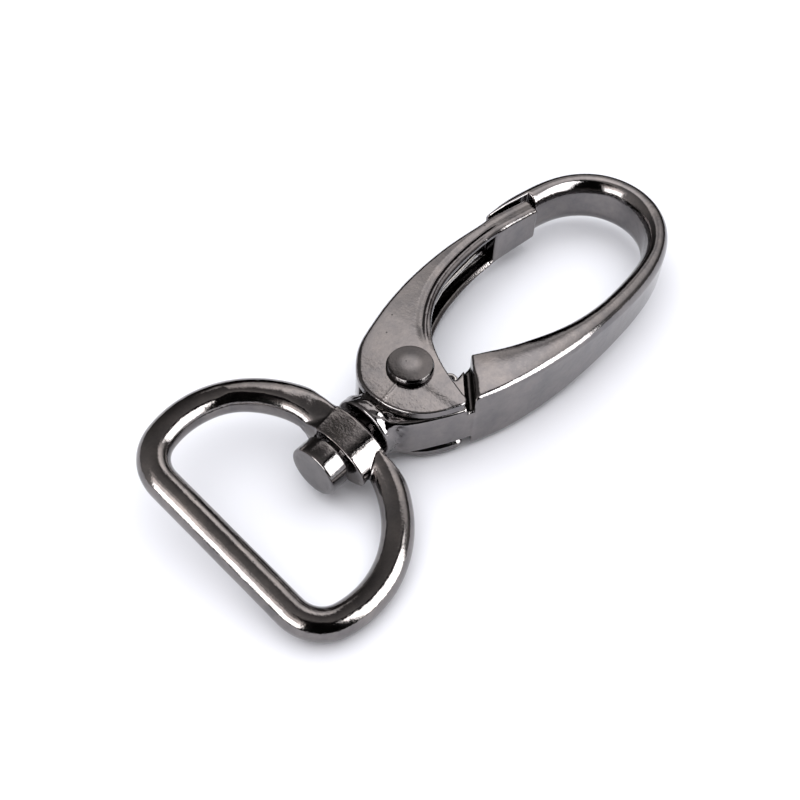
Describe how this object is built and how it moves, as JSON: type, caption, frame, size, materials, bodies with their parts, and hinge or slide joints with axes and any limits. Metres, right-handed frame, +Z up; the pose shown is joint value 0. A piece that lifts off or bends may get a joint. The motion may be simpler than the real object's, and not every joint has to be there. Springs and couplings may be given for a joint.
{
  "type": "swivel snap hook",
  "caption": "Cast swivel snap hook with a sprung inward-opening gate lever and a swivelling D-ring for webbing, plated gunmetal.",
  "frame": {"origin": "middle of the D-ring's straight strap bar, on the swivel axis", "axes": "+X along the swivel axis to the hook's tip, +Y to the gate side, +Z up out of the face it lies on"},
  "size_m": [0.0775, 0.0326, 0.0104],
  "materials": {
    "gunmetal_casting": "bright dark nickel plating over a zinc casting",
    "gunmetal_steel": "bright dark nickel plating over turned steel",
    "spring_steel": "drawn spring wire"
  },
  "bodies": {
    "hook": {"hook_body": "gunmetal_casting", "swivel_stud": "gunmetal_steel", "pivot_rivet": "gunmetal_steel", "gate_spring": "spring_steel"},
    "gate": {"gate_lever": "gunmetal_casting"},
    "ring": {"d_ring": "gunmetal_casting"}
  },
  "joints": [
    {"name": "gate_hinge", "type": "hinge", "parent": "hook", "child": "gate", "pos_m": [0.0296, 0, 0], "axis": [0, 0, -1], "range_deg": [0, 25], "stiffness_Nm_per_rad": 0.05, "springref_deg": -20.05, "deforming": ["gate_spring"]},
    {"name": "ring_swivel", "type": "hinge", "parent": "hook", "child": "ring", "pos_m": [0.0204, 0, 0], "axis": [1, 0, 0], "continuous": true}
  ]
}
